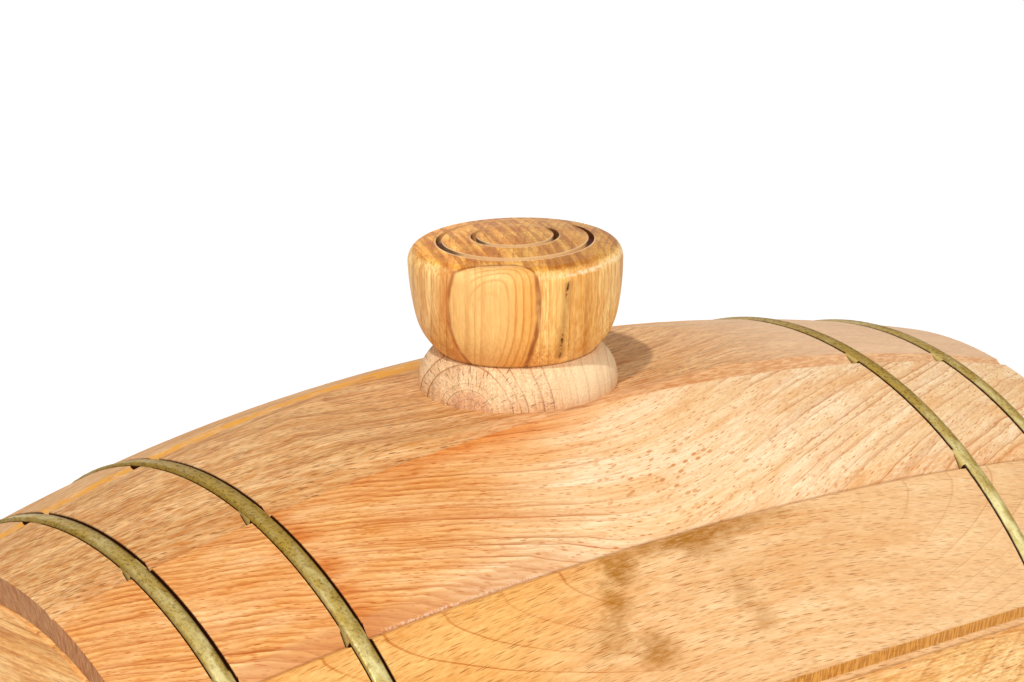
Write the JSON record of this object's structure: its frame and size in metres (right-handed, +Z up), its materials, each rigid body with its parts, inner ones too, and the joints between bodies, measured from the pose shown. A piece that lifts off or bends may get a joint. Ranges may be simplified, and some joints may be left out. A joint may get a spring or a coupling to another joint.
{
  "type": "cask liquor dispenser",
  "caption": "Small coopered beech cask lying on a wooden cradle, with brass wire hoops, a turned bung stopper on top and a wooden tap with a quarter-turn key at one end.",
  "frame": {"origin": "on the table under the middle of the whole dispenser's bounding box", "axes": "+Z up, the cask's axis along Y with the tap at the -Y end, X across the cask"},
  "size_m": [0.228, 0.338, 0.3312],
  "materials": {
    "stave_beech": "satin, oiled beech",
    "head_beech": "satin, oiled beech",
    "collar_beech": "satin, pale pinkish beech",
    "knob_fruitwood": "satin, waxed golden-brown fruitwood",
    "tap_wood": "satin, waxed",
    "cradle_wood": "satin, oiled beech",
    "cork": "matte cork",
    "hoop_brass": "tarnished, rubbed bright on the lower side",
    "screw_brass": "satin",
    "foot_rubber": "matte"
  },
  "bodies": {
    "stand": {"front_saddle": "cradle_wood", "rear_saddle": "cradle_wood", "left_rail": "cradle_wood", "right_rail": "cradle_wood", "cradle_screws": "screw_brass", "cradle_feet": "foot_rubber"},
    "cask": {"bung_stave": "stave_beech", "stave_02": "stave_beech", "stave_03": "stave_beech", "stave_04": "stave_beech", "stave_05": "stave_beech", "stave_06": "stave_beech", "stave_07": "stave_beech", "stave_08": "stave_beech", "stave_09": "stave_beech", "stave_10": "stave_beech", "stave_11": "stave_beech", "stave_12": "stave_beech", "stave_13": "stave_beech", "stave_14": "stave_beech", "stave_15": "stave_beech", "stave_16": "stave_beech", "front_head_upper_board": "head_beech", "front_head_middle_board": "head_beech", "front_head_lower_board": "head_beech", "rear_head_upper_board": "head_beech", "rear_head_middle_board": "head_beech", "rear_head_lower_board": "head_beech", "front_outer_hoop": "hoop_brass", "front_inner_hoop": "hoop_brass", "rear_inner_hoop": "hoop_brass", "rear_outer_hoop": "hoop_brass", "bung_collar": "collar_beech", "tap_washer": "cork", "tap_body": "tap_wood", "tap_cork_liner": "cork", "tap_spout": "tap_wood"},
    "stopper": {"stopper_knob": "knob_fruitwood", "stopper_cork": "cork"},
    "tap_plug": {"tap_key": "tap_wood", "tap_handle": "tap_wood"}
  },
  "joints": [
    {"name": "cask_lift", "type": "slide", "parent": "stand", "child": "cask", "axis": [0, 0, 1], "range_m": [0, 0.15]},
    {"name": "stopper_pull", "type": "slide", "parent": "cask", "child": "stopper", "axis": [0, 0, 1], "range_m": [0, 0.045]},
    {"name": "tap_turn", "type": "hinge", "parent": "cask", "child": "tap_plug", "pos_m": [0, -0.13305, 0.13], "axis": [0, 0, 1], "range_deg": [0, 90]}
  ]
}
